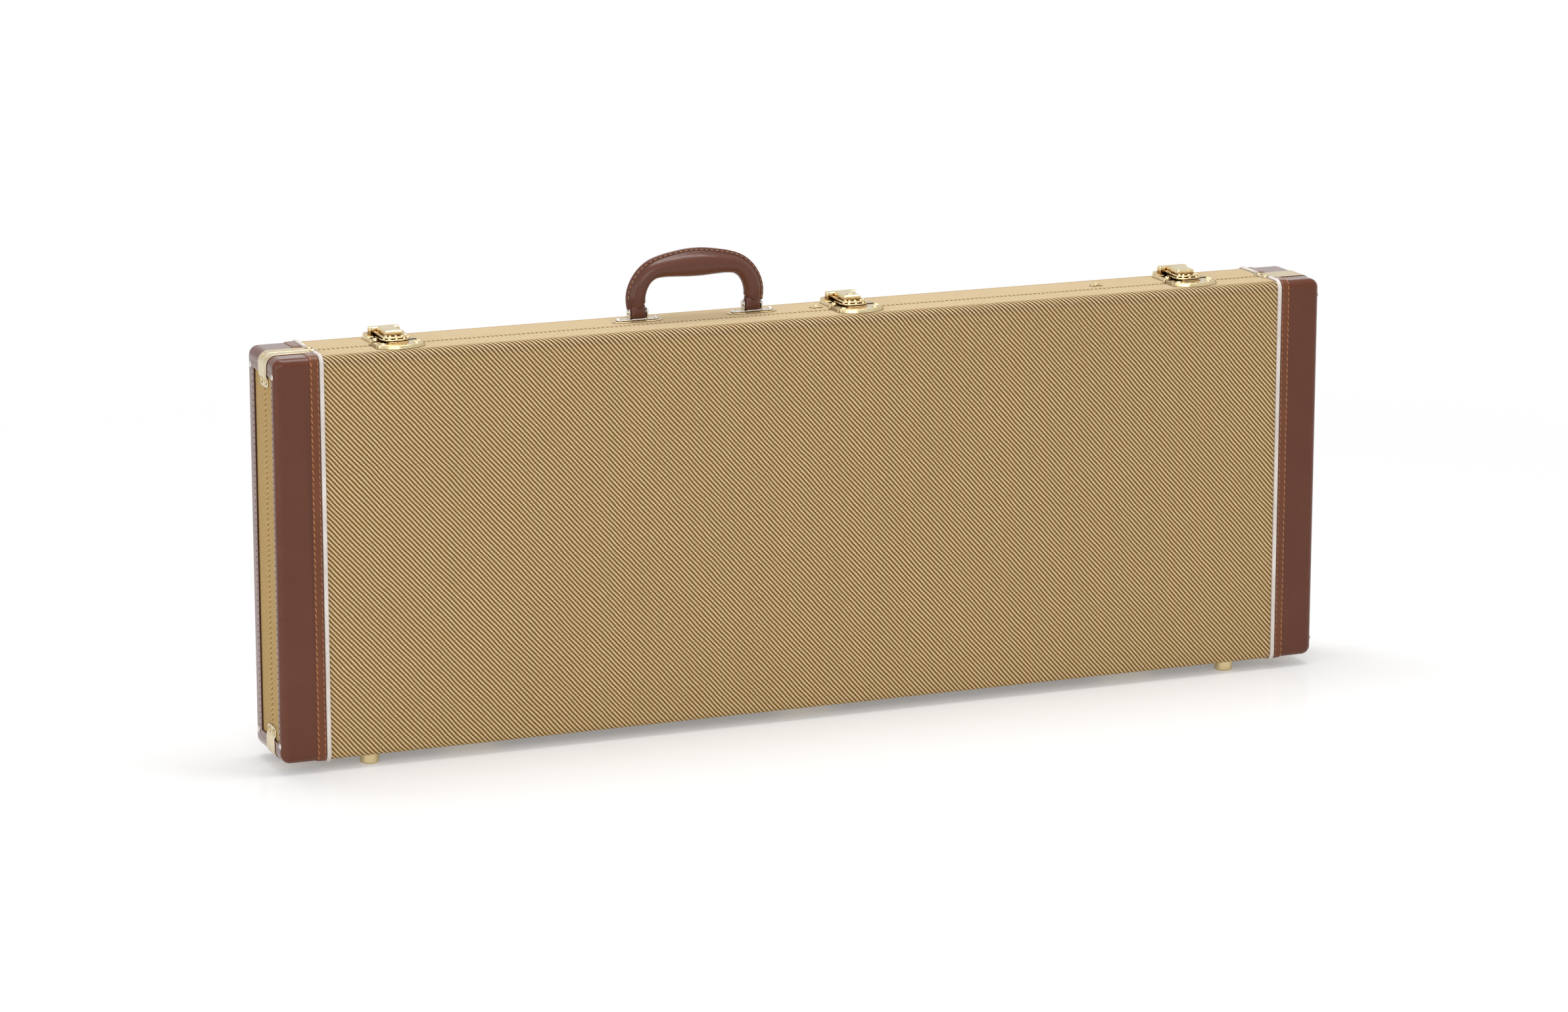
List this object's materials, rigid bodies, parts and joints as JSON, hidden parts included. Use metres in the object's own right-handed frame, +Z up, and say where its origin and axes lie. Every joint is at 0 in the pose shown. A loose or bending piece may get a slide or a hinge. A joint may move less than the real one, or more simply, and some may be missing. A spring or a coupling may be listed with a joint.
{
  "type": "electric guitar case",
  "caption": "Rectangular tweed electric guitar case standing on its hinge side, with leather ends, light piping, brass corner straps and latches, a hinged lid and a leather handle.",
  "frame": {"origin": "on the ground, under the middle of the case, which stands on the four feet of its hinge side", "axes": "+X along the case towards its right end, +Y through the case from the lid to the base, +Z up towards the handle and latches"},
  "size_m": [1.0656, 0.089, 0.454],
  "materials": {
    "tweed": "matte",
    "end_leather": "satin",
    "handle_leather": "satin",
    "binding": "satin",
    "piping": "satin",
    "strap_brass": "satin",
    "bright_brass": "polished",
    "nickel": "satin",
    "plush": "matte"
  },
  "bodies": {
    "base": {"base_binding_left": "binding", "base_binding_right": "binding", "base_foot_left": "bright_brass", "base_foot_right": "bright_brass", "base_hinge_leaf_left": "bright_brass", "base_hinge_leaf_middle": "bright_brass", "base_hinge_leaf_right": "bright_brass", "base_leather_left": "end_leather", "base_leather_right": "end_leather", "base_piping_left": "piping", "base_piping_right": "piping", "base_shell": "tweed", "base_strap_bottom_left": "strap_brass", "base_strap_bottom_right": "strap_brass", "base_strap_top_left": "strap_brass", "base_strap_top_right": "strap_brass", "guitar_bed": "plush", "handle_bracket_left": "nickel", "handle_bracket_right": "nickel", "handle_escutcheon_left": "bright_brass", "handle_escutcheon_right": "bright_brass", "handle_pin_left": "nickel", "handle_pin_right": "nickel", "latch_housing_left": "bright_brass", "latch_housing_middle": "bright_brass", "latch_housing_right": "bright_brass", "neck_rest": "plush", "top_fitting_middle": "bright_brass", "top_fitting_right": "bright_brass"},
    "lid": {"lid_binding_left": "binding", "lid_binding_right": "binding", "lid_foot_left": "bright_brass", "lid_foot_right": "bright_brass", "lid_hinge_leaf_left": "bright_brass", "lid_hinge_leaf_middle": "bright_brass", "lid_hinge_leaf_right": "bright_brass", "lid_leather_left": "end_leather", "lid_leather_right": "end_leather", "lid_pad": "plush", "lid_piping_left": "piping", "lid_piping_right": "piping", "lid_shell": "tweed", "lid_strap_bottom_left": "strap_brass", "lid_strap_bottom_right": "strap_brass", "lid_strap_top_left": "strap_brass", "lid_strap_top_right": "strap_brass", "latch_plate_left": "bright_brass", "latch_plate_middle": "bright_brass", "latch_plate_right": "bright_brass"},
    "handle": {"handle": "handle_leather"},
    "flap": {"compartment_flap": "plush", "compartment_tab": "handle_leather"},
    "lever_left": {"latch_lever_left": "bright_brass", "latch_block_left": "bright_brass"},
    "lever_middle": {"latch_lever_middle": "bright_brass", "latch_block_middle": "bright_brass"},
    "lever_right": {"latch_lever_right": "bright_brass", "latch_block_right": "bright_brass"},
    "lock": {"lock_plug": "bright_brass"}
  },
  "joints": [
    {"name": "lid_hinge", "type": "hinge", "parent": "base", "child": "lid", "pos_m": [0, -0.007, 0.007], "axis": [1, 0, 0], "range_deg": [0, 100]},
    {"name": "handle_swing", "type": "hinge", "parent": "base", "child": "handle", "pos_m": [-0.1038, 0.009, 0.397], "axis": [1, 0, 0], "range_deg": [-80, 80]},
    {"name": "latch_left", "type": "hinge", "parent": "base", "child": "lever_left", "pos_m": [-0.4045, 0.024, 0.396], "axis": [-1, 0, 0], "range_deg": [0, 110]},
    {"name": "latch_middle", "type": "hinge", "parent": "base", "child": "lever_middle", "pos_m": [0.0507, 0.024, 0.396], "axis": [-1, 0, 0], "range_deg": [0, 110]},
    {"name": "latch_right", "type": "hinge", "parent": "base", "child": "lever_right", "pos_m": [0.402, 0.024, 0.396], "axis": [-1, 0, 0], "range_deg": [0, 110]},
    {"name": "lock_turn", "type": "hinge", "parent": "lever_middle", "child": "lock", "pos_m": [0.0507, 0, 0.399], "axis": [0, 0, 1], "range_deg": [0, 90]},
    {"name": "compartment_flap", "type": "hinge", "parent": "base", "child": "flap", "pos_m": [0.112, -0.0015, 0.0255], "axis": [1, 0, 0], "range_deg": [0, 80]}
  ],
  "couplings": [
    {"joint": "compartment_flap", "follows": "lid_hinge", "ratio": 0.8}
  ]
}
